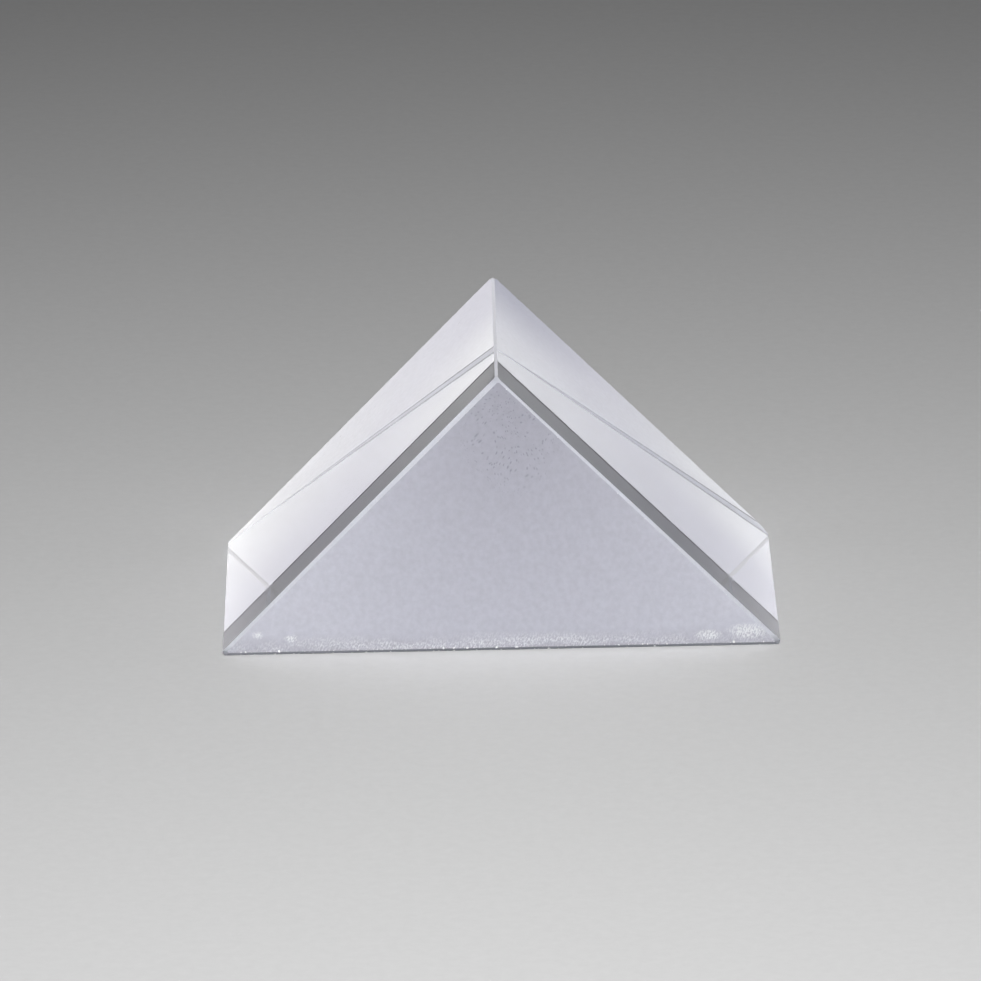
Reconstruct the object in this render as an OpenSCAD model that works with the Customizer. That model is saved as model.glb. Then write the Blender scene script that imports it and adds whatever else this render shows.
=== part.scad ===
// Right-angle prism: one solid block of clear optical glass.
// Two polished legs meet at the ridge, the polished hypotenuse is the face that the block rests on,
// and both triangular ends are ground. Every edge and corner is blunted by a flat, stoned by hand,
// so the flats differ in width, and some are wider at one end than at the other.
// Frame in millimetres: +X to the right along the hypotenuse, +Y from the front end to the rear end,
// +Z up, origin in the middle of the hypotenuse face.

/* [Block] */
// Length of each leg of the triangle, measured to its sharp corners
leg = 25; // [10:0.5:50]
// Length of the block from ground end to ground end
block_length = 25; // [10:0.5:50]

/* [Long bevels] */
// Width of the flat along the ridge
ridge_bevel = 0.2; // [0.1:0.05:0.5]
// Width of the flat along each toe, where a leg meets the hypotenuse
toe_bevel = 0.3; // [0.1:0.05:0.5]

/* [Front bevels] */
// Width, at the ridge, of the flat between the front end and the left leg
front_left_bevel_at_ridge = 0.4; // [0.1:0.05:0.6]
// Width of the same flat at the left toe
front_left_bevel_at_toe = 0.25; // [0.1:0.05:0.6]
// Width, at the ridge, of the flat between the front end and the right leg
front_right_bevel_at_ridge = 0.2; // [0.1:0.05:0.6]
// Width of the same flat at the right toe
front_right_bevel_at_toe = 0.3; // [0.1:0.05:0.6]
// Width of the flat between the front end and the hypotenuse
front_base_bevel = 0.3; // [0.1:0.05:0.6]

/* [Rear bevels] */
// Width of the flat between the rear end and each leg
rear_leg_bevel = 0.2; // [0.1:0.05:0.6]
// Width, at the left toe, of the flat between the rear end and the hypotenuse
rear_base_bevel_at_left = 0.05; // [0.05:0.05:1.5]
// Width of the same flat at the right toe
rear_base_bevel_at_right = 1.3; // [0.05:0.05:1.5]

/* [Corner facets] */
// Depth of the facet at each end of the ridge, from the sharp corner
ridge_corner = 0.3; // [0.2:0.05:0.8]
// Depth of the facet at each end of a toe, from the sharp corner
toe_corner = 0.4; // [0.3:0.05:0.8]

/* [Hidden] */

// Angles of the triangle
ridge_angle = 90;
toe_angle = 45;
half_hypotenuse = leg * cos(toe_angle);
ridge_height = leg * sin(toe_angle);

// The side faces: the angle of the outward normal, turned up from +X, the distance from the origin,
// and the length of the edge that the face shares with an end
left_leg = [180 - toe_angle, leg / 2, leg];
right_leg = [toe_angle, leg / 2, leg];
base = [-90, 0, 2 * half_hypotenuse];

// The ends: the sign of Y on each
front = -1;
rear = 1;

// How far a flat of this width reaches back along each of the two faces that meet at this angle
function setback(width, angle) = width / (2 * sin(angle / 2));

// Turns +Z to point along a direction
function aim(direction) = [0, acos(direction.z / norm(direction)), atan2(direction.y, direction.x)];

// Right half of the triangle's outline, from the hypotenuse up to the ridge
toe_back = setback(toe_bevel, toe_angle);
ridge_back = setback(ridge_bevel, ridge_angle);
right_half = [
    [half_hypotenuse - toe_back, 0],
    [half_hypotenuse - toe_back * cos(toe_angle), toe_back * sin(toe_angle)],
    [ridge_back * cos(toe_angle), ridge_height - ridge_back * sin(toe_angle)]
];

left_half = [for (point = right_half) [-point.x, point.y]];
down_the_left = [for (i = [len(left_half) - 1:-1:0]) left_half[i]];

// The sawn and polished bar, with its three long edges already flat
module blank() {
    rotate([90, 0, 0])
        linear_extrude(height = block_length, center = true)
            polygon(concat(right_half, down_the_left));
}

// What stoning takes off the edge between an end and a side face: a bar whose inner face is the flat.
// The flat has the first width where the edge starts and the last where it ends, anticlockwise seen
// from the front: left to right on the base, up the right leg and down the left leg.
module end_bevel(end, side, first_width, last_width) {
    middle_width = (first_width + last_width) / 2;
    taper = atan((first_width - last_width) / (2 * side[2]));
    bar = 3 * max(first_width, last_width);
    bar_length = 2 * side[2];
    rotate([0, -side[0], 0])
        translate([side[1], end * block_length / 2, 0])
            rotate([0, 0, end * 45])
                rotate([0, taper, 0])
                    translate([-middle_width / 2, -bar / 2, -bar_length / 2])
                        cube([bar, bar, bar_length]);
}

// What stoning takes off a corner, square to the middle line of the three faces that meet there
module corner_facet(corner, outward, depth) {
    block = 4 * depth;
    translate(corner)
        rotate(aim(outward))
            translate([-block / 2, -block / 2, -depth])
                cube(block);
}

module end_bevels() {
    end_bevel(front, left_leg, front_left_bevel_at_ridge, front_left_bevel_at_toe);
    end_bevel(front, right_leg, front_right_bevel_at_toe, front_right_bevel_at_ridge);
    end_bevel(front, base, front_base_bevel, front_base_bevel);
    for (side = [left_leg, right_leg])
        end_bevel(rear, side, rear_leg_bevel, rear_leg_bevel);
    end_bevel(rear, base, rear_base_bevel_at_left, rear_base_bevel_at_right);
}

module corner_facets() {
    for (end = [front, rear]) {
        corner_facet([0, end * block_length / 2, ridge_height], [0, end, 2 * cos(toe_angle)], ridge_corner);
        for (hand = [-1, 1])
            corner_facet(
                [hand * half_hypotenuse, end * block_length / 2, 0],
                [hand * sin(toe_angle), end, cos(toe_angle) - 1],
                toe_corner
            );
    }
}

module prism_block() {
    color("#D8DAE2", 0.6)
        difference() {
            blank();
            end_bevels();
            corner_facets();
        }
}

prism_block();
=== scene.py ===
# %% [markdown]
# Right-angle prism
#
# This lesson dresses a right-angle prism: a solid bar of clear optical glass with a triangular section.
# Two polished legs meet at the ridge, the prism rests on its polished hypotenuse, and both triangular
# ends are ground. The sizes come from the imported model, which is loaded first and never moved.

# %% Load the fixed frame
import math

import bmesh
import bpy
from mathutils import Matrix, Vector


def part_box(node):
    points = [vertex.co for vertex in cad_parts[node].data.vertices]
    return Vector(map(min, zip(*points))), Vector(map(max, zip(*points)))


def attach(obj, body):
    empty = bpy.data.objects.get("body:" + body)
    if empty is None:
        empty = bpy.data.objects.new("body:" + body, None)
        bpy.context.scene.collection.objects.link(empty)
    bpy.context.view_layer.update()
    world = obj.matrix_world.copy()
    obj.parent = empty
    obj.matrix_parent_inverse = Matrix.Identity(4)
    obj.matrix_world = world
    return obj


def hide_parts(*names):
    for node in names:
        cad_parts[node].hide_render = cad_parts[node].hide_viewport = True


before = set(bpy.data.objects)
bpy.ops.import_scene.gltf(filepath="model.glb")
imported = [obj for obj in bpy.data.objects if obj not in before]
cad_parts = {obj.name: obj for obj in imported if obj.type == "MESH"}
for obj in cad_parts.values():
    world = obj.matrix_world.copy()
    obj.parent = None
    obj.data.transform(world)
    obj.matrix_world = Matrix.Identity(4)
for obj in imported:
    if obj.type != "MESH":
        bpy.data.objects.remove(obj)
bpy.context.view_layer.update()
MM = 0.001

# %% [markdown]
# Sizes
#
# A real prism is drawn from its triangle and its length. Here both are read from the block's own box
# instead of being typed again, so the looks stay right if the block is ever made in another size.

# %% Read the block's sizes
block_low, block_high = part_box("prism_block")
FRONT_Y = block_low.y
REAR_Y = block_high.y
HALF_WIDTH = block_high.x
HEIGHT = block_high.z
LENGTH = REAR_Y - FRONT_Y
# A mark on one end fades out this far along the block, so it never shows on the other end
END_REACH = 0.8 * LENGTH
print("half width, height and length, mm:", [round(v / MM, 2) for v in (HALF_WIDTH, HEIGHT, LENGTH)])

# %% [markdown]
# Helpers for materials
#
# A colour is written as the hex value that a screen shows, and one function turns it into the linear
# light that a shader mixes. Another adds a node, sets it and links it, so that a material reads as a list
# of nodes from its pattern to its surface. Patterns are sized in millimetres of real glass.

# %% Colour, size and node helpers
def linear(hex_colour):
    """Turns an sRGB hex colour into linear red, green, blue and alpha."""
    channels = [int(hex_colour[i:i + 2], 16) / 255 for i in (1, 3, 5)]
    return [c / 12.92 if c <= 0.04045 else ((c + 0.055) / 1.055) ** 2.4 for c in channels] + [1.0]


def add_node(tree, kind, settings=None, inputs=None):
    """Adds one node, sets its properties, and fills its inputs with values or with links."""
    node = tree.nodes.new(kind)
    for name, value in (settings or {}).items():
        setattr(node, name, value)
    for key, value in (inputs or {}).items():
        if isinstance(value, bpy.types.NodeSocket):
            tree.links.new(value, node.inputs[key])
        else:
            node.inputs[key].default_value = value
    return node


def per_mm(size_mm):
    """The scale of a pattern whose features are this many millimetres across, on coordinates in metres."""
    return 1 / (size_mm * MM)


def new_material(name):
    """An empty node material and its tree."""
    material = bpy.data.materials.new(name)
    material.use_nodes = True
    material.node_tree.nodes.clear()
    return material, material.node_tree


def soft_patch(tree, place, centre, reach):
    """A patch that is 1 at its centre and fades to 0 at its reach along each axis."""
    local = add_node(tree, "ShaderNodeMapping", {"vector_type": "TEXTURE"}, {
        "Vector": place, "Location": centre, "Scale": reach,
    })
    return add_node(tree, "ShaderNodeTexGradient", {"gradient_type": "SPHERICAL"}, {
        "Vector": local.outputs["Vector"],
    }).outputs["Fac"]


# Places of the colour sockets on a Mix node, which has one set of sockets for each kind of data
MIX_A, MIX_B, MIX_COLOUR = 6, 7, 2
GLASS_IOR = 1.517
print("crown glass bends light by an index of", GLASS_IOR)

# %% [markdown]
# Specks on the polished faces
#
# A polished face that has been in use carries a few grey specks. Scattering them as tiny discs would cost
# many pieces for very little, so a cell pattern puts a dot in some of its cells and leaves the rest clear.

# %% Specks on the polished faces
SPECK_SPACING_MM = 1.6


def sparse_specks(tree, place):
    """A dot here and there, from 0 to 1."""
    # A typical speck is about 0.03 mm across, and is drawn at 0.1 mm so that it shows
    cells = add_node(tree, "ShaderNodeTexVoronoi", None, {
        "Vector": place, "Scale": per_mm(SPECK_SPACING_MM),
    })
    chosen = add_node(tree, "ShaderNodeMapRange", None, {
        "Value": cells.outputs["Color"], "From Min": 0.62, "From Max": 0.70,
    })
    dot = add_node(tree, "ShaderNodeMapRange", None, {
        "Value": cells.outputs["Distance"], "From Min": 0.07, "From Max": 0.03,
    })
    return add_node(tree, "ShaderNodeMath", {"operation": "MULTIPLY"}, {
        0: chosen.outputs["Result"], 1: dot.outputs["Result"],
    }).outputs["Value"]


print("one speck at most in every", SPECK_SPACING_MM, "mm")

# %% [markdown]
# Polished crown glass
#
# The legs and the hypotenuse are lapped flat and then polished on pitch until no pit is left, so the eye
# gets a sharp mirror at a low angle and a clear view in at a steep one. A plain glass shader gives both.
# The right leg is tinted darker, most of all at the rear of the ridge. That is painted shade, for the
# weaker glow seen through the right leg. Painted shade and specks are tints on the glass and need no shape.

# %% Polished legs and hypotenuse
RIGHT_LEG_SHADE_EDGE = 0.1 * MM
DENSE_SHADE_CENTRE = (1.5 * MM, REAR_Y, HEIGHT)
DENSE_SHADE_REACH = (8 * MM, 11 * MM, 8 * MM)


def polished_crown_glass():
    """Gives the eye a sharp mirror at a low angle and a clear view in at a steep one."""
    material, tree = new_material("crown_glass_polished")
    place = add_node(tree, "ShaderNodeTexCoord").outputs["Object"]
    # Painted shade: the right leg is tinted darker, densest at the rear of the ridge
    # Only the right leg lies both right of the ridge and above the hypotenuse
    axes = add_node(tree, "ShaderNodeSeparateXYZ", None, {"Vector": place}).outputs
    on_right_leg = add_node(tree, "ShaderNodeMath", {"operation": "MINIMUM"}, {0: axes["X"], 1: axes["Z"]})
    right_leg_painted_shade = add_node(tree, "ShaderNodeMapRange", None, {
        "Value": on_right_leg.outputs["Value"], "From Min": 0.0, "From Max": RIGHT_LEG_SHADE_EDGE,
    }).outputs["Result"]
    dense_painted_shade = add_node(tree, "ShaderNodeMath", {"operation": "MULTIPLY"}, {
        0: right_leg_painted_shade, 1: soft_patch(tree, place, DENSE_SHADE_CENTRE, DENSE_SHADE_REACH),
    }).outputs["Value"]
    colour = linear("#FCFCFB")
    for mark, shade in (
        (right_leg_painted_shade, "#D8DADE"), (dense_painted_shade, "#A0A4AE"), (sparse_specks(tree, place), "#A4A4A6"),
    ):
        colour = add_node(tree, "ShaderNodeMix", {"data_type": "RGBA"}, {
            "Factor": mark, MIX_A: colour, MIX_B: linear(shade),
        }).outputs[MIX_COLOUR]
    surface = add_node(tree, "ShaderNodeBsdfPrincipled", None, {
        "Base Color": colour, "Roughness": 0.0, "IOR": GLASS_IOR, "Transmission Weight": 1.0,
    })
    add_node(tree, "ShaderNodeOutputMaterial", None, {"Surface": surface.outputs["BSDF"]})
    return material


polished = polished_crown_glass()
print("made", polished.name)

# %% [markdown]
# Shade of the ground ends
#
# The ends are left as loose abrasive made them, a field of tiny pits that looks like frosted paper. The
# front one is greyer towards the ridge, which is painted shade, and darker in a strip along its foot. The
# rear one is painted whiter low on both sides, which is painted light. Soft patches laid over one colour
# give this without a picture, and a fine noise gives the grain.

# %% Shade of the ground ends
GROUND_COLOUR = "#D8D9E3"
GRAIN_MM = 0.35
# The centre of each patch, its reach along each axis, and the shade at its centre
GROUND_PATCHES_AND_PAINTED_LIGHT = {
    # Painted shade: the front end is greyer towards the ridge
    "front ridge painted shade": ((1 * MM, FRONT_Y, HEIGHT), (1.05 * HALF_WIDTH, END_REACH, 1.25 * HEIGHT), "#AEAEB8"),
    "front foot": ((0, FRONT_Y, 0.2 * MM), (60 * MM, END_REACH, 1.2 * MM), "#BCBBC6"),
    # Painted light: the rear end is whiter low on both sides
    "rear left painted light": ((-16 * MM, REAR_Y, 1 * MM), (24 * MM, END_REACH, 18 * MM), "#EEF0F4"),
    "rear right painted light": ((12 * MM, REAR_Y, 3 * MM), (12 * MM, END_REACH, 9 * MM), "#EEF0F4"),
}


def ground_colour_and_painted_light(tree, place):
    """The colour of both ends, with their patches, most of them painted shade or light, and a fine grain.
    """
    colour = linear(GROUND_COLOUR)
    for centre, reach, shade in GROUND_PATCHES_AND_PAINTED_LIGHT.values():
        colour = add_node(tree, "ShaderNodeMix", {"data_type": "RGBA"}, {
            "Factor": soft_patch(tree, place, centre, reach), MIX_A: colour, MIX_B: linear(shade),
        }).outputs[MIX_COLOUR]
    # Grit typically leaves a grain of 0.02 mm, which is drawn at 0.35 mm so that it shows
    grain = add_node(tree, "ShaderNodeTexNoise", None, {
        "Vector": place, "Scale": per_mm(GRAIN_MM), "Detail": 3.0, "Roughness": 0.6,
    })
    shimmer = add_node(tree, "ShaderNodeMapRange", None, {
        "Value": grain.outputs["Fac"], "From Min": 0.3, "From Max": 0.7, "To Min": 0.95, "To Max": 1.05,
    })
    return add_node(tree, "ShaderNodeMix", {"data_type": "RGBA", "blend_type": "MULTIPLY"}, {
        "Factor": 1.0, MIX_A: colour, MIX_B: shimmer.outputs["Result"],
    }).outputs[MIX_COLOUR]


print("patches on the ground ends:", ", ".join(GROUND_PATCHES_AND_PAINTED_LIGHT))

# %% [markdown]
# Pits of the ground ends
#
# Below the ridge, the front end shows deeper pits, as a coarse grit leaves where a finer one didn't reach.
# They could be dents in the mesh, but at a tenth of a millimetre only their darker tone shows. So the
# cells of a Voronoi pattern draw the dots, a slow noise makes their rows wander, and a patch gathers them.

# %% Pits of the ground ends
PIT_SPACING_MM = 0.17
PIT_STRETCH = (1, 1, 1.5)
PIT_CENTRE = (0.8 * MM, FRONT_Y, 0.80 * HEIGHT)
PIT_REACH = (3.8 * MM, END_REACH, 4.6 * MM)
SWAY_MM = 2.5
SWAY = (2 * MM, 2 * MM, 2 * MM)


def ground_pits(tree, place):
    """Deeper pits, some 0.1 mm across, gathered below the ridge. They run from 0 to 1."""
    gathered = soft_patch(tree, place, PIT_CENTRE, PIT_REACH)
    thick = add_node(tree, "ShaderNodeMapRange", None, {
        "Value": gathered, "From Min": 0.05, "From Max": 0.5,
    })
    # A lap turns as it grinds, so the rows of pits wander
    sway = add_node(tree, "ShaderNodeTexNoise", None, {
        "Vector": place, "Scale": per_mm(SWAY_MM), "Detail": 0.0,
    })
    swirled = add_node(tree, "ShaderNodeVectorMath", {"operation": "MULTIPLY_ADD"}, {
        0: sway.outputs["Color"], 1: SWAY, 2: place,
    })
    stretched = add_node(tree, "ShaderNodeMapping", {"vector_type": "TEXTURE"}, {
        "Vector": swirled.outputs["Vector"], "Scale": PIT_STRETCH,
    })
    cells = add_node(tree, "ShaderNodeTexVoronoi", None, {
        "Vector": stretched.outputs["Vector"], "Scale": per_mm(PIT_SPACING_MM),
    })
    dot = add_node(tree, "ShaderNodeMapRange", None, {
        "Value": cells.outputs["Distance"], "From Min": 0.42, "From Max": 0.12,
    })
    chosen = add_node(tree, "ShaderNodeMath", {"operation": "GREATER_THAN"}, {
        0: cells.outputs["Color"], 1: 0.46,
    })
    some = add_node(tree, "ShaderNodeMath", {"operation": "MULTIPLY"}, {
        0: dot.outputs["Result"], 1: chosen.outputs["Value"],
    })
    return add_node(tree, "ShaderNodeMath", {"operation": "MULTIPLY"}, {
        0: some.outputs["Value"], 1: thick.outputs["Result"],
    }).outputs["Value"]


print("pits on the front end, mm apart:", PIT_SPACING_MM)

# %% [markdown]
# Where the front foot is scuffed
#
# The foot of the front end looks rubbed and knocked, which bruises frosted glass white. There are a few
# clear scuffs near the toes, and flecks between them that nearly join into a strip. Each clear scuff is a
# soft patch of its own, and a noise breaks the strip between them into flecks.

# %% Where the front foot is scuffed
# How far right of the middle and how high each scuff lies, and its reach to the sides and up, in mm
SCUFFS_MM = [
    (15.4, 1.0, 1.5, 0.55),
    (12.9, 0.75, 1.0, 0.4),
    (-15.2, 1.3, 0.4, 0.3),
    (-13.1, 1.05, 0.5, 0.3),
]
FOOT_STRIP_CENTRE = (-4 * MM, FRONT_Y, 0.55 * MM)
FOOT_STRIP_REACH = (40 * MM, END_REACH, 0.75 * MM)
FLECKS_MM = 1.2
FLECKS_STRETCH = (3.3, 1, 1)


def scuffed_places(tree, place):
    """How scuffed the foot of the front end is, the most near the right toe."""
    # The flecks between the scuffs gather in patches, each about 4 mm long and 1.2 mm high
    drawn_out = add_node(tree, "ShaderNodeMapping", {"vector_type": "TEXTURE"}, {
        "Vector": place, "Scale": FLECKS_STRETCH,
    })
    gathered = add_node(tree, "ShaderNodeTexNoise", None, {
        "Vector": drawn_out.outputs["Vector"], "Scale": per_mm(FLECKS_MM), "Detail": 2.0, "Roughness": 0.7,
    })
    flecks = add_node(tree, "ShaderNodeMapRange", None, {
        "Value": gathered.outputs["Fac"], "From Min": 0.38, "From Max": 0.62, "To Min": 0.1, "To Max": 0.48,
    })
    scuffed = add_node(tree, "ShaderNodeMath", {"operation": "MULTIPLY"}, {
        0: soft_patch(tree, place, FOOT_STRIP_CENTRE, FOOT_STRIP_REACH), 1: flecks.outputs["Result"],
    }).outputs["Value"]
    for x, z, reach_x, reach_z in SCUFFS_MM:
        scuff = soft_patch(tree, place, (x * MM, FRONT_Y, z * MM), (reach_x * MM, END_REACH, reach_z * MM))
        scuffed = add_node(tree, "ShaderNodeMath", {"operation": "ADD"}, {
            0: scuffed, 1: scuff,
        }).outputs["Value"]
    return scuffed


print("clear scuffs on the front foot:", len(SCUFFS_MM))

# %% [markdown]
# Strokes of the scuffs
#
# Seen close, a scuff is many short white strokes that lean the same way, as a sliding knock leaves them.
# One stretched and leaning noise draws the strokes everywhere, and the scuffed places let them show.

# %% Strokes of the scuffs
STROKE_MM = 0.10
STROKE_STRETCH = (1, 1, 1.8)
STROKE_LEAN = (0, math.radians(25), 0)


def ground_scuffs(tree, place):
    """White strokes on the foot of the front end. They run from 0 to 1."""
    # A typical stroke is about 0.03 mm wide, and is drawn at 0.1 mm so that it shows
    leaning = add_node(tree, "ShaderNodeMapping", {"vector_type": "TEXTURE"}, {
        "Vector": place, "Rotation": STROKE_LEAN, "Scale": STROKE_STRETCH,
    })
    marks = add_node(tree, "ShaderNodeTexNoise", None, {
        "Vector": leaning.outputs["Vector"], "Scale": per_mm(STROKE_MM), "Detail": 2.0, "Roughness": 0.6,
    })
    strokes = add_node(tree, "ShaderNodeMapRange", None, {
        "Value": marks.outputs["Fac"], "From Min": 0.42, "From Max": 0.62, "To Min": 0.15, "To Max": 2.2,
    })
    return add_node(tree, "ShaderNodeMath", {"operation": "MULTIPLY", "use_clamp": True}, {
        0: strokes.outputs["Result"], 1: scuffed_places(tree, place),
    }).outputs["Value"]


print("strokes, drawn width in mm:", STROKE_MM)

# %% [markdown]
# Ground crown glass
#
# The pits of a ground end scatter light both ways, so the end looks frosted from outside and glows with
# the light inside the block. One rough glass shader would glow too much in some directions, so most of it
# is a translucent shader, which spreads light evenly. Seen at a slant, real ground glass glows less, and
# a Layer Weight node brings the translucent share down there.

# %% Surface of the ground ends
GRIT_MM = 0.16
GRIT_DEPTH = 0.02 * MM
PASSED_STRAIGHT = 0.65
PASSED_AT_A_SLANT = 0.4


def ground_crown_glass():
    """Gives the eye an even frost that hides what is behind it and glows with the light that it passes."""
    material, tree = new_material("crown_glass_ground")
    place = add_node(tree, "ShaderNodeTexCoord").outputs["Object"]
    colour = ground_colour_and_painted_light(tree, place)
    for mark, shade in ((ground_pits(tree, place), "#999AA6"), (ground_scuffs(tree, place), "#FAFCFF")):
        colour = add_node(tree, "ShaderNodeMix", {"data_type": "RGBA"}, {
            "Factor": mark, MIX_A: colour, MIX_B: linear(shade),
        }).outputs[MIX_COLOUR]
    # The grit's own pits are typically 0.02 mm wide, and are drawn at 0.16 mm so that they show
    grit = add_node(tree, "ShaderNodeTexNoise", None, {
        "Vector": place, "Scale": per_mm(GRIT_MM), "Detail": 3.0, "Roughness": 0.6,
    })
    bump = add_node(tree, "ShaderNodeBump", None, {
        "Height": grit.outputs["Fac"], "Strength": 0.25, "Distance": GRIT_DEPTH,
    }).outputs["Normal"]
    frost = add_node(tree, "ShaderNodeBsdfPrincipled", None, {
        "Base Color": colour,
        "Roughness": 0.95,
        "IOR": GLASS_IOR,
        "Transmission Weight": 0.1,
        "Normal": bump,
    })
    glow = add_node(tree, "ShaderNodeBsdfTranslucent", None, {"Color": colour, "Normal": bump})
    # Ground glass bends most of the light that it passes into a cone, so it glows less at a slant
    facing = add_node(tree, "ShaderNodeLayerWeight", None, {"Blend": 0.5}).outputs["Facing"]
    passed = add_node(tree, "ShaderNodeMapRange", None, {
        "Value": facing, "From Min": 0.375, "From Max": 0.5,
        "To Min": PASSED_STRAIGHT, "To Max": PASSED_AT_A_SLANT,
    })
    surface = add_node(tree, "ShaderNodeMixShader", None, {
        0: passed.outputs["Result"], 1: frost.outputs["BSDF"], 2: glow.outputs["BSDF"],
    })
    add_node(tree, "ShaderNodeOutputMaterial", None, {"Surface": surface.outputs["Shader"]})
    return material


ground = ground_crown_glass()
print("made", ground.name)

# %% [markdown]
# Scratches of the stone
#
# A sharp glass edge chips, so every edge is rubbed flat by hand with a stone, which leaves short
# scratches. They are far too fine to model, so one noise stands for them on all the flats, both as a
# change of tone and as a bump.

# %% Scratches of the stone
SCRATCH_MM = 0.12
SCRATCH_DEPTH = 0.02 * MM


def stone_scratches(tree, place):
    """Short scratches that run from 0 to 1, and the bump that they make."""
    # Stone scratches are typically 0.01 mm wide, and are drawn at 0.12 mm so that they show
    scratches = add_node(tree, "ShaderNodeTexNoise", None, {
        "Vector": place, "Scale": per_mm(SCRATCH_MM), "Detail": 2.0, "Roughness": 0.7,
    }).outputs["Fac"]
    bump = add_node(tree, "ShaderNodeBump", None, {
        "Height": scratches, "Strength": 0.3, "Distance": SCRATCH_DEPTH,
    })
    return scratches, bump.outputs["Normal"]


print("stone scratches, drawn width in mm:", SCRATCH_MM)

# %% [markdown]
# Dark edges of the rear foot
#
# The flat along the rear foot is much wider at its right end, and both its edges are darker there. The
# flat lies between the rear end and the hypotenuse, so the distance to the nearer of the two tells how
# close a point is to an edge, and a ramp on that distance darkens the edges.

# %% Dark edges of the rear foot
RIGHT_END_REACH = (34 * MM, 4 * MM, 4 * MM)
EDGE_DARK_TO = 0.06 * MM
EDGE_DARK_GONE_AT = 0.16 * MM


def rear_foot_dark_edges(tree, place):
    """Darkening along both edges of the rear foot, strongest at its right end. It runs from 0 to 1."""
    # Real grooves are likely finer, and are drawn at about 0.15 mm so that they show
    axes = add_node(tree, "ShaderNodeSeparateXYZ", None, {"Vector": place}).outputs
    from_rear = add_node(tree, "ShaderNodeMath", {"operation": "SUBTRACT"}, {0: REAR_Y, 1: axes["Y"]})
    from_edge = add_node(tree, "ShaderNodeMath", {"operation": "MINIMUM"}, {
        0: from_rear.outputs["Value"], 1: axes["Z"],
    })
    dark_edges = add_node(tree, "ShaderNodeMapRange", None, {
        "Value": from_edge.outputs["Value"], "From Min": EDGE_DARK_GONE_AT, "From Max": EDGE_DARK_TO,
    })
    right_end_patch = soft_patch(tree, place, (HALF_WIDTH, REAR_Y, 0), RIGHT_END_REACH)
    return add_node(tree, "ShaderNodeMath", {"operation": "MULTIPLY"}, {
        0: dark_edges.outputs["Result"], 1: right_end_patch,
    }).outputs["Value"]


print("grooves fade out this far from the edge, mm:", round(EDGE_DARK_GONE_AT / MM, 2))

# %% [markdown]
# Stoned crown glass
#
# Most flats are frosted like the ends, but whiter and streaky, so they outline the block in thin pale
# lines. They aren't all alike: the front foot is painted dark, as painted shade where it faces down, and
# the ridge is painted grey, as painted shade. The left end of the rear foot is painted white, as painted
# light, and passes more light. Patches on one shader keep all of this in one material.

# %% Stoned flats
FRONT_FOOT_SHADE_REACH = (60 * MM, 0.7 * MM, 0.7 * MM)
RIDGE_REACH = (60 * MM, 60 * MM, 0.6 * MM)
REAR_FOOT_LIGHT_REACH = (70 * MM, 6 * MM, 6 * MM)


def stoned_crown_glass():
    """Gives the eye thin pale lines, frosted and streaky, that glow with the light inside the block."""
    material, tree = new_material("crown_glass_stoned")
    place = add_node(tree, "ShaderNodeTexCoord").outputs["Object"]
    scratches, bump = stone_scratches(tree, place)
    # Painted shade along the front foot, which faces down
    front_foot_painted_shade = soft_patch(tree, place, (0, FRONT_Y, 0), FRONT_FOOT_SHADE_REACH)
    # Painted light at the left end of the rear foot
    rear_foot_painted_light = soft_patch(tree, place, (-HALF_WIDTH, REAR_Y, 0), REAR_FOOT_LIGHT_REACH)
    # Painted shade on the ridge, the top of the block
    ridge_painted_shade = soft_patch(tree, place, (0, 0, HEIGHT), RIDGE_REACH)
    colour = linear("#C6C9D2")
    for mark, shade in (
        (scratches, "#E6E8EE"), (front_foot_painted_shade, "#60626A"), (rear_foot_painted_light, "#F4F7FF"),
        (ridge_painted_shade, "#BCBEC6"), (rear_foot_dark_edges(tree, place), "#4C4E56"),
    ):
        colour = add_node(tree, "ShaderNodeMix", {"data_type": "RGBA"}, {
            "Factor": mark, MIX_A: colour, MIX_B: linear(shade),
        }).outputs[MIX_COLOUR]
    rough = add_node(tree, "ShaderNodeBsdfPrincipled", None, {
        "Base Color": colour,
        "Roughness": 0.7,
        "IOR": GLASS_IOR,
        "Transmission Weight": 0.1,
        "Normal": bump,
    })
    glow = add_node(tree, "ShaderNodeBsdfTranslucent", None, {"Color": colour, "Normal": bump})
    # Where the rear foot is painted lighter, the flat also passes more light
    passed = add_node(tree, "ShaderNodeMapRange", None, {
        "Value": rear_foot_painted_light, "To Min": 0.5, "To Max": 0.85,
    })
    surface = add_node(tree, "ShaderNodeMixShader", None, {
        0: passed.outputs["Result"], 1: rough.outputs["BSDF"], 2: glow.outputs["BSDF"],
    })
    add_node(tree, "ShaderNodeOutputMaterial", None, {"Surface": surface.outputs["Shader"]})
    return material


stoned = stoned_crown_glass()
print("made", stoned.name)

# %% [markdown]
# Finely stoned crown glass
#
# The two flats between the legs and the rear end look as a finer stone leaves them. Square on they stay
# clear enough to look out through, and show as dark lines, and at a slant their scratches close up into a
# frost. So this is a clear shader and a frosted one, mixed by a Layer Weight node.

# %% Finely stoned flats
FROSTED_AT_A_SLANT = 0.58


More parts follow.
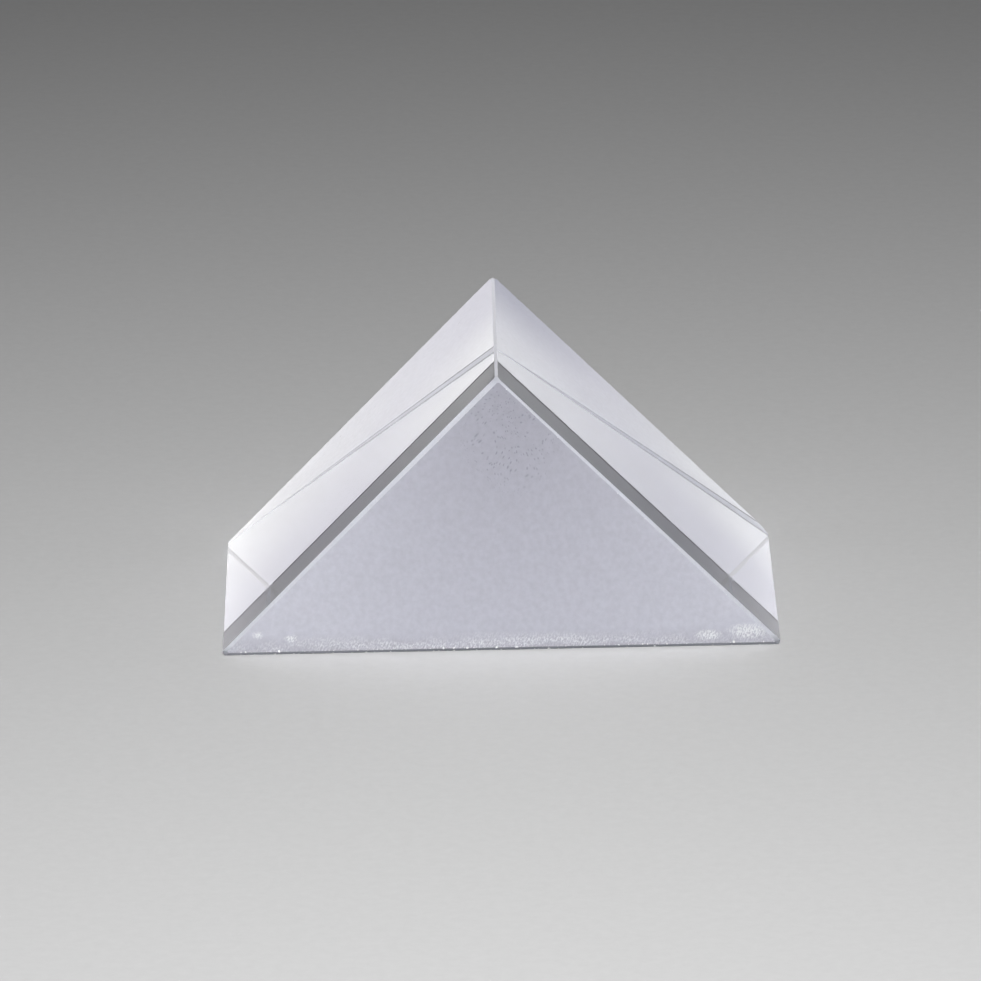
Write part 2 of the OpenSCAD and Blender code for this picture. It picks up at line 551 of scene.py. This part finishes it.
def fine_stoned_crown_glass():
    """Gives the eye a slightly blurred view out square on, and a pale frost at a slant."""
    material, tree = new_material("crown_glass_stoned_fine")
    place = add_node(tree, "ShaderNodeTexCoord").outputs["Object"]
    scratches, bump = stone_scratches(tree, place)
    roughness = add_node(tree, "ShaderNodeMapRange", None, {
        "Value": scratches, "To Min": 0.08, "To Max": 0.22,
    })
    clear = add_node(tree, "ShaderNodeBsdfPrincipled", None, {
        "Base Color": linear("#D8D8DA"),
        "Roughness": roughness.outputs["Result"],
        "IOR": GLASS_IOR,
        "Transmission Weight": 1.0,
        "Normal": bump,
    })
    frost = add_node(tree, "ShaderNodeBsdfTranslucent", None, {"Color": linear("#EEF0F6"), "Normal": bump})
    facing = add_node(tree, "ShaderNodeLayerWeight", None, {"Blend": 0.5}).outputs["Facing"]
    frosted = add_node(tree, "ShaderNodeMapRange", None, {
        "Value": facing, "From Min": 0.1, "From Max": 0.45, "To Max": FROSTED_AT_A_SLANT,
    })
    surface = add_node(tree, "ShaderNodeMixShader", None, {
        0: frosted.outputs["Result"], 1: clear.outputs["BSDF"], 2: frost.outputs["BSDF"],
    })
    add_node(tree, "ShaderNodeOutputMaterial", None, {"Surface": surface.outputs["Shader"]})
    return material


fine_stoned = fine_stoned_crown_glass()
print("made", fine_stoned.name)

# %% [markdown]
# Fractured crown glass
#
# Where an edge was knocked, a flake has left a small shell-shaped bite. Fresh glass is smooth there, but
# rippled, so the bite sparkles. It is the polished shader with some roughness and a ripple.

# %% Fractured bites
RIPPLE_MM = 0.15
RIPPLE_DEPTH = 0.03 * MM


def fractured_crown_glass():
    """Gives the eye a sparkle from small curved faces."""
    material, tree = new_material("crown_glass_fractured")
    place = add_node(tree, "ShaderNodeTexCoord").outputs["Object"]
    # Real ripples are likely finer, and are drawn at 0.15 mm so that they show
    ripple = add_node(tree, "ShaderNodeTexNoise", None, {
        "Vector": place, "Scale": per_mm(RIPPLE_MM), "Detail": 1.0,
    })
    bump = add_node(tree, "ShaderNodeBump", None, {
        "Height": ripple.outputs["Fac"], "Strength": 0.4, "Distance": RIPPLE_DEPTH,
    })
    surface = add_node(tree, "ShaderNodeBsdfPrincipled", None, {
        "Base Color": linear("#FAFBFB"),
        "Roughness": 0.35,
        "IOR": GLASS_IOR,
        "Transmission Weight": 1.0,
        "Normal": bump.outputs["Normal"],
    })
    add_node(tree, "ShaderNodeOutputMaterial", None, {"Surface": surface.outputs["BSDF"]})
    return material


fractured = fractured_crown_glass()
print("made", fractured.name)

# %% [markdown]
# The block
#
# The block is one solid with five main faces, nine flats along its edges and a small facet at each corner
# that the flats leave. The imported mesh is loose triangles, so a copy is merged and its flat faces are
# joined again. Each face takes its finish from the way it looks: legs and hypotenuse polished, ends
# ground, the flats of the rear end's upper edges fine, and the rest stoned.

# %% Copy the block and give each face its finish
SLANT = math.sqrt(0.5)
FACES_OF = {
    polished: [(-SLANT, 0, SLANT), (SLANT, 0, SLANT), (0, 0, -1)],
    ground: [(0, -1, 0), (0, 1, 0)],
    fine_stoned: [(-0.5, SLANT, 0.5), (0.5, SLANT, 0.5)],
}
FINISHES = [polished, ground, fine_stoned, stoned]
SAME_WAY = math.cos(math.radians(2))
SAME_PLANE = math.radians(0.3)
SAME_POINT = 0.001 * MM


def finish_of(face):
    """The finish of a face, from the way that it looks."""
    face.normal_update()
    for finish, directions in FACES_OF.items():
        if any(face.normal.dot(Vector(direction)) > SAME_WAY for direction in directions):
            return finish
    return stoned


def block_mesh():
    """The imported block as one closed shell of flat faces."""
    shell = bmesh.new()
    shell.from_mesh(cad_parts["prism_block"].data)
    bmesh.ops.remove_doubles(shell, verts=shell.verts, dist=SAME_POINT)
    bmesh.ops.dissolve_limit(shell, angle_limit=SAME_PLANE, verts=shell.verts, edges=shell.edges)
    for face in shell.faces:
        face.material_index = FINISHES.index(finish_of(face))
        face.smooth = False
    mesh = bpy.data.meshes.new("prism")
    shell.to_mesh(mesh)
    shell.free()
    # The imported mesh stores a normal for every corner, and these would go wrong where an edge is chipped
    stored_normals = mesh.attributes.get("custom_normal")
    if stored_normals is not None:
        mesh.attributes.remove(stored_normals)
    for finish in FINISHES:
        mesh.materials.append(finish)
    return mesh


prism = bpy.data.objects.new("prism", block_mesh())
bpy.context.scene.collection.objects.link(prism)
print("faces on the block:", len(prism.data.polygons))

# %% [markdown]
# Which edges chip
#
# The foot of the front end looks the most knocked, so it gets a row of small bites. The edges that rise
# around both ends get only a nick here and there. Two marks on the mesh's edges tell them apart, and the
# chipping reads the marks by name.

# %% Mark the edges
FOOT_HEIGHT = 0.5 * MM
END_TOLERANCE = 0.01 * MM


def mark_edges(mesh, name, chosen):
    """Stores a true or false mark on every edge, from the two ends of the edge."""
    marks = mesh.attributes.new(name, "BOOLEAN", "EDGE")
    ends = [[mesh.vertices[v].co for v in edge.vertices] for edge in mesh.edges]
    marks.data.foreach_set("value", [chosen(a, b) for a, b in ends])
    return sum(chosen(a, b) for a, b in ends)


def on_front_foot(a, b):
    """True for the long edges along the foot of the front end."""
    low = max(a.z, b.z) < FOOT_HEIGHT
    at_front = max(a.y, b.y) < FRONT_Y + FOOT_HEIGHT
    return low and at_front and abs(a.x - b.x) > HALF_WIDTH


def on_rising_edge(a, b):
    """True for the long edges that rise from the toes to the ridge around both ends."""
    on_an_end = min(abs(a.y), abs(b.y)) > REAR_Y - END_TOLERANCE
    return on_an_end and abs(a.z - b.z) > HEIGHT / 2


print("edges along the front foot:", mark_edges(prism.data, "front_foot", on_front_foot))
print("edges that rise around the ends:", mark_edges(prism.data, "rising_edges", on_rising_edge))

# %% [markdown]
# The shape of a bite
#
# A flake leaves a shallow, uneven shell in the glass. A plain ball would leave a round dimple, so the
# tool that bites is a ball of few faces, flattened and pushed out of true by a noise. It is used hundreds
# of times, so few faces matter.

# %% Make one lumpy ball
BALL_SCALE = (1.4, 1.0, 0.7)
BALL_LUMPS = 0.2


def lumpy_ball(tree):
    """A flattened ball of 80 faces, one unit across, with a slightly uneven surface."""
    ball = add_node(tree, "GeometryNodeMeshIcoSphere", None, {"Radius": 0.5, "Subdivisions": 2})
    lumps = add_node(tree, "ShaderNodeTexNoise", None, {"Scale": 3.0, "Detail": 0.0})
    push = add_node(tree, "ShaderNodeVectorMath", {"operation": "SCALE"}, {
        0: lumps.outputs["Color"], "Scale": BALL_LUMPS,
    })
    uneven = add_node(tree, "GeometryNodeSetPosition", None, {
        "Geometry": ball.outputs["Mesh"], "Offset": push.outputs["Vector"],
    })
    return add_node(tree, "GeometryNodeTransform", None, {
        "Geometry": uneven.outputs["Geometry"], "Scale": BALL_SCALE,
    }).outputs["Geometry"]


print("a bite is a ball stretched by", BALL_SCALE)

# %% [markdown]
# Where the bites fall
#
# Knocks come at random along an edge, and small ones are far more common than large ones. So points are
# set out evenly along the marked edges, each slides by chance along its edge, and each gets a ball with a
# chance size and turn.

# %% Scatter the balls along the marked edges
# A high power makes most of the chances small, so that large bites are rare
RARITY = 4.0
WHOLE_TURN = (math.tau, math.tau, math.tau)


def chip_balls(tree, given, mark_name, spacing, largest):
    """Lumpy balls on points along the edges that carry a mark, most of them small."""
    mark = add_node(tree, "GeometryNodeInputNamedAttribute", {"data_type": "BOOLEAN"}, {"Name": mark_name})
    line = add_node(tree, "GeometryNodeMeshToCurve", None, {
        "Mesh": given["Geometry"], "Selection": mark.outputs["Attribute"],
    })
    points = add_node(tree, "GeometryNodeCurveToPoints", {"mode": "LENGTH"}, {
        "Curve": line.outputs["Curve"], "Length": spacing,
    })
    shift = add_node(tree, "FunctionNodeRandomValue", {"data_type": "FLOAT"}, {
        2: -0.5, 3: 0.5, "Seed": given["Seed"],
    })
    slide = add_node(tree, "ShaderNodeMath", {"operation": "MULTIPLY"}, {0: shift.outputs[1], 1: spacing})
    along = add_node(tree, "ShaderNodeVectorMath", {"operation": "SCALE"}, {
        0: points.outputs["Tangent"], "Scale": slide.outputs["Value"],
    })
    placed = add_node(tree, "GeometryNodeSetPosition", None, {
        "Geometry": points.outputs["Points"], "Offset": along.outputs["Vector"],
    })
    chance = add_node(tree, "FunctionNodeRandomValue", {"data_type": "FLOAT"}, {"Seed": given["Seed"]})
    mostly_small = add_node(tree, "ShaderNodeMath", {"operation": "POWER"}, {
        0: chance.outputs[1], 1: RARITY,
    })
    size = add_node(tree, "ShaderNodeMapRange", None, {
        "Value": mostly_small.outputs["Value"], "To Min": given["Smallest"], "To Max": largest,
    })
    turn = add_node(tree, "FunctionNodeRandomValue", {"data_type": "FLOAT_VECTOR"}, {
        0: (0, 0, 0), 1: WHOLE_TURN, "Seed": given["Seed"],
    })
    return add_node(tree, "GeometryNodeInstanceOnPoints", None, {
        "Points": placed.outputs["Geometry"],
        "Instance": lumpy_ball(tree),
        "Rotation": turn.outputs[0],
        "Scale": size.outputs["Result"],
    }).outputs["Instances"]


print("half of the bites are under", 0.5 ** RARITY, "of the span from smallest to largest")

# %% [markdown]
# The chipping tree
#
# Modelling each bite by hand would be slow. So one Geometry Nodes tree follows both kinds of marked edge,
# drops the balls on them at random, and takes all the balls away from the block at once. Each kind of edge
# has a spacing and a largest bite of its own, and what the balls leave is given the fractured finish.

# %% Build the tree that chips the edges
def chip_tree():
    """A tree that bites flakes out of the marked edges."""
    tree = bpy.data.node_groups.new("chip_edges", "GeometryNodeTree")
    tree.interface.new_socket("Geometry", in_out="OUTPUT", socket_type="NodeSocketGeometry")
    for label, kind in (
        ("Geometry", "NodeSocketGeometry"), ("Smallest", "NodeSocketFloat"), ("Seed", "NodeSocketInt"),
        ("Foot Spacing", "NodeSocketFloat"), ("Foot Largest", "NodeSocketFloat"),
        ("Edge Spacing", "NodeSocketFloat"), ("Edge Largest", "NodeSocketFloat"),
        ("Finish", "NodeSocketMaterial"),
    ):
        tree.interface.new_socket(label, in_out="INPUT", socket_type=kind)
    given = add_node(tree, "NodeGroupInput").outputs
    bites = add_node(tree, "GeometryNodeJoinGeometry")
    for mark, name in (("front_foot", "Foot"), ("rising_edges", "Edge")):
        balls = chip_balls(tree, given, mark, given[name + " Spacing"], given[name + " Largest"])
        tree.links.new(balls, bites.inputs["Geometry"])
    loose = add_node(tree, "GeometryNodeRealizeInstances", None, {"Geometry": bites.outputs["Geometry"]})
    on_faces = {"data_type": "BOOLEAN", "domain": "FACE"}
    fresh_balls = add_node(tree, "GeometryNodeStoreNamedAttribute", on_faces, {
        "Geometry": loose.outputs["Geometry"], "Name": "fresh", "Value": True,
    })
    bitten = add_node(tree, "GeometryNodeMeshBoolean", {"operation": "DIFFERENCE", "solver": "EXACT"}, {
        "Mesh 1": given["Geometry"], "Mesh 2": fresh_balls.outputs["Geometry"], "Self Intersection": True,
    })
    whole = add_node(tree, "GeometryNodeRealizeInstances", None, {"Geometry": bitten.outputs["Mesh"]})
    fresh = add_node(tree, "GeometryNodeInputNamedAttribute", {"data_type": "BOOLEAN"}, {"Name": "fresh"})
    dressed = add_node(tree, "GeometryNodeSetMaterial", None, {
        "Geometry": whole.outputs["Geometry"],
        "Selection": fresh.outputs["Attribute"],
        "Material": given["Finish"],
    })
    add_node(tree, "NodeGroupOutput", None, {"Geometry": dressed.outputs["Geometry"]})
    return tree


chips = chip_tree()
print("nodes in the chipping tree:", len(chips.nodes))

# %% [markdown]
# Chipped edges
#
# The tree runs as a modifier, which is the easiest way to try other sizes. Once they look right, its
# result is copied to a plain mesh and the modifier is removed, so that the prism is finished geometry.

# %% Chip the edges
CHIP_SIZES = {
    "Smallest": 0.03 * MM,
    "Seed": 4,
    "Foot Spacing": 0.30 * MM,
    "Foot Largest": 0.20 * MM,
    "Edge Spacing": 2.2 * MM,
    "Edge Largest": 0.10 * MM,
    "Finish": fractured,
}
chipping = prism.modifiers.new("chipping", "NODES")
chipping.node_group = chips
for socket in chips.interface.items_tree:
    if socket.in_out == "INPUT" and socket.name in CHIP_SIZES:
        chipping[socket.identifier] = CHIP_SIZES[socket.name]
evaluated = prism.evaluated_get(bpy.context.evaluated_depsgraph_get())
chipped_mesh = bpy.data.meshes.new_from_object(evaluated)
prism.modifiers.clear()
prism.data = chipped_mesh
chipped_mesh.name = "prism"
print("faces after chipping:", len(prism.data.polygons))
print("finishes:", [material.name for material in prism.data.materials])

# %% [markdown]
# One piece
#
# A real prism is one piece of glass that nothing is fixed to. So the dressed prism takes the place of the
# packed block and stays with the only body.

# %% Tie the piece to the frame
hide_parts("prism_block")
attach(prism, "root")
print(prism.name, "takes the place of prism_block")

# %% [markdown]
# Camera
#
# The view is from just above, straight at the front end, through a very long lens, so that the block
# keeps nearly parallel lines. The numbers were found by fitting the block's sharp corners to the picture.

# %% Place the camera
IMAGE_SIDE_PX = 981
FOCAL_PX = 11384
SENSOR_MM = 36
AZIMUTH = math.radians(-0.181)
ELEVATION = math.radians(15.718)
ROLL = math.radians(-1.119)
DISTANCE = 719.9 * MM
SLIDE_RIGHT = -0.424 * MM
SLIDE_UP = -1.906 * MM
# Height of the ridge before its flat was stoned
SHARP_HEIGHT = 17.68 * MM

forward = Vector((
    -math.sin(AZIMUTH) * math.cos(ELEVATION),
    math.cos(AZIMUTH) * math.cos(ELEVATION),
    -math.sin(ELEVATION),
))
level_right = forward.cross(Vector((0, 0, 1))).normalized()
level_up = level_right.cross(forward)
right = level_right * math.cos(ROLL) + level_up * math.sin(ROLL)
up = level_up * math.cos(ROLL) - level_right * math.sin(ROLL)
target = Vector((0, (FRONT_Y + REAR_Y) / 2, SHARP_HEIGHT / 2))
stand = target - forward * DISTANCE + right * SLIDE_RIGHT + up * SLIDE_UP

camera_data = bpy.data.cameras.new("camera")
camera_data.sensor_width = SENSOR_MM
camera_data.lens = SENSOR_MM * FOCAL_PX / IMAGE_SIDE_PX
camera_data.clip_start = 0.01
camera_data.clip_end = 20
camera = bpy.data.objects.new("camera", camera_data)
turn = Matrix((right, up, -forward)).transposed().to_4x4()
camera.matrix_world = Matrix.Translation(stand) @ turn
bpy.context.scene.collection.objects.link(camera)
bpy.context.scene.camera = camera
print("lens, mm:", round(camera_data.lens, 1))

# %% [markdown]
# Pale paper
#
# The prism stands on a sheet of pale matt paper, which takes a soft shadow and has no gloss. A matt shader
# with a faint noise of fibres is enough, because the floor should stay plain.

# %% Paper for the floor
FIBRE_MM = 0.8
FIBRE_DEPTH = 0.05 * MM


def pale_paper():
    """Gives the eye a flat pale grey with no gloss."""
    material, tree = new_material("paper_pale_matt")
    place = add_node(tree, "ShaderNodeTexCoord").outputs["Object"]
    # Paper fibres are about 0.03 mm thick, and are drawn at 0.8 mm so that they show
    fibres = add_node(tree, "ShaderNodeTexNoise", None, {
        "Vector": place, "Scale": per_mm(FIBRE_MM), "Detail": 4.0, "Roughness": 0.7,
    })
    colour = add_node(tree, "ShaderNodeMix", {"data_type": "RGBA"}, {
        "Factor": fibres.outputs["Fac"], MIX_A: linear("#C2C2C2"), MIX_B: linear("#CCCCCC"),
    })
    bump = add_node(tree, "ShaderNodeBump", None, {
        "Height": fibres.outputs["Fac"], "Strength": 0.2, "Distance": FIBRE_DEPTH,
    })
    surface = add_node(tree, "ShaderNodeBsdfPrincipled", None, {
        "Base Color": colour.outputs[MIX_COLOUR],
        "Roughness": 0.9,
        "Specular IOR Level": 0.2,
        "Normal": bump.outputs["Normal"],
    })
    add_node(tree, "ShaderNodeOutputMaterial", None, {"Surface": surface.outputs["BSDF"]})
    return material


paper = pale_paper()
print("made", paper.name)

# %% [markdown]
# Floor
#
# The legs mirror the floor at a low angle, and the rim of a flat sheet would show in them as a bright
# streak. So the sheet is a studio sweep: it runs flat for two metres and then curves up all the way round.
# Glass never quite touches what it stands on, so the sheet lies a hair lower, and the hypotenuse keeps its
# total reflection.

# %% Lay the floor
AIR_GAP = 0.05 * MM
FLOOR_RADIUS = 2.0
SWEEP_RADIUS = 1.0
SWEEP_STEPS = 24
TURN_STEPS = 96


def sweep_mesh():
    """A flat sheet around the block that curves up into a low wall all the way round."""
    sheet = bmesh.new()
    profile = [(0, 0)]
    for step in range(SWEEP_STEPS + 1):
        bend = math.pi / 2 * step / SWEEP_STEPS
        profile.append((FLOOR_RADIUS + SWEEP_RADIUS * math.sin(bend), SWEEP_RADIUS * (1 - math.cos(bend))))
    points = [sheet.verts.new((radius, 0, block_low.z - AIR_GAP + rise)) for radius, rise in profile]
    lines = [sheet.edges.new(pair) for pair in zip(points, points[1:])]
    bmesh.ops.spin(
        sheet, geom=points + lines, cent=(0, 0, 0), axis=(0, 0, 1), angle=math.tau, steps=TURN_STEPS)
    bmesh.ops.remove_doubles(sheet, verts=sheet.verts, dist=MM)
    for face in sheet.faces:
        face.smooth = True
        if face.normal.dot(Vector((0, 0, 1)) - face.calc_center_median()) < 0:
            face.normal_flip()
    mesh = bpy.data.meshes.new("floor")
    sheet.to_mesh(mesh)
    sheet.free()
    return mesh


floor_mesh = sweep_mesh()
floor_mesh.materials.append(paper)
floor = bpy.data.objects.new("floor", floor_mesh)
bpy.context.scene.collection.objects.link(floor)
print("faces on the floor:", len(floor_mesh.polygons))

# %% [markdown]
# Light
#
# Clear glass shows only what is behind it and what it mirrors, so the light is placed for the rear end. A
# softbox straight behind the block, and low, shines into the rear end, which then glows through both legs.
# It lights the glass alone, by light linking, because paper lit from there would be mirrored in the legs
# and wash out their dark front strips. A second softbox, above the camera, lights the front end and the
# paper. Its beam is narrow and aimed in front of the block, so that the paper further back stays quiet.

# %% Hang the softboxes
LAMP_DISTANCE = 600 * MM
ALL_ROUND = 180
PAPER_IN_FRONT = Vector((0, -110 * MM, 0))
glass_only = bpy.data.collections.new("glass_only")
glass_only.objects.link(prism)


def softbox(
    name, azimuth_deg, elevation_deg, side, level, colour, spread_deg=ALL_ROUND, lit=None, aim=target,
):
    """A square lamp aimed at a point. Azimuth 0 is behind the camera, and positive is to the right.
    The level is how bright a white card at that point, facing the lamp, would look."""
    azimuth, elevation = math.radians(azimuth_deg), math.radians(elevation_deg)
    away = Vector((
        math.sin(azimuth) * math.cos(elevation),
        -math.cos(azimuth) * math.cos(elevation),
        math.sin(elevation),
    ))
    data = bpy.data.lights.new(name, "AREA")
    data.shape = "SQUARE"
    data.size = side
    data.spread = math.radians(spread_deg)
    # A narrower beam packs the same power more tightly, so it needs less of it
    half_beam = data.spread / 2
    narrowing = 1 if spread_deg == ALL_ROUND else math.tan(half_beam) / (math.tan(half_beam) - half_beam)
    data.energy = level * (math.pi * LAMP_DISTANCE) ** 2 / narrowing
    data.color = linear(colour)[:3]
    lamp = bpy.data.objects.new(name, data)
    lamp.location = aim + away * LAMP_DISTANCE
    lamp.rotation_euler = away.to_track_quat("Z", "Y").to_euler()
    if lit is not None:
        lamp.light_linking.receiver_collection = lit
    bpy.context.scene.collection.objects.link(lamp)
    return lamp


overhead_lamp = softbox(
    "overhead", azimuth_deg=0, elevation_deg=40, side=220 * MM, level=3.8, colour="#FFFFFF",
    spread_deg=34, aim=PAPER_IN_FRONT)
rear_lamp = softbox(
    "rear", azimuth_deg=180, elevation_deg=3.5, side=120 * MM, level=2.25, colour="#FFFCFA",
    lit=glass_only)
print("lamps, watts:", {lamp.name: round(lamp.data.energy, 2) for lamp in (overhead_lamp, rear_lamp)})

# %% [markdown]
# Room
#
# The rest of the room is dark and nearly grey. A little light from all sides keeps the shadows and the
# mirrored strips on the legs from going black.

# %% Dim the room
world = bpy.data.worlds.new("dim_room")
bpy.context.scene.world = world
world.use_nodes = True
world.node_tree.nodes.clear()
room = add_node(world.node_tree, "ShaderNodeBackground", None, {
    "Color": linear("#1E1E20"), "Strength": 1.0,
})
add_node(world.node_tree, "ShaderNodeOutputWorld", None, {"Surface": room.outputs["Background"]})
print("made the world", world.name)

# %% [markdown]
# Picture settings
#
# Colours should come out as they are written, so the view transform is Standard. Light crosses the block
# many times before it leaves, and every total reflection is one bounce, so glass needs more bounces than
# most things do.

# %% Set the view and the bounces
scene = bpy.context.scene
scene.view_settings.view_transform = "Standard"
scene.cycles.max_bounces = 32
scene.cycles.glossy_bounces = 24
scene.cycles.transmission_bounces = 24
print("most bounces through glass:", scene.cycles.transmission_bounces)
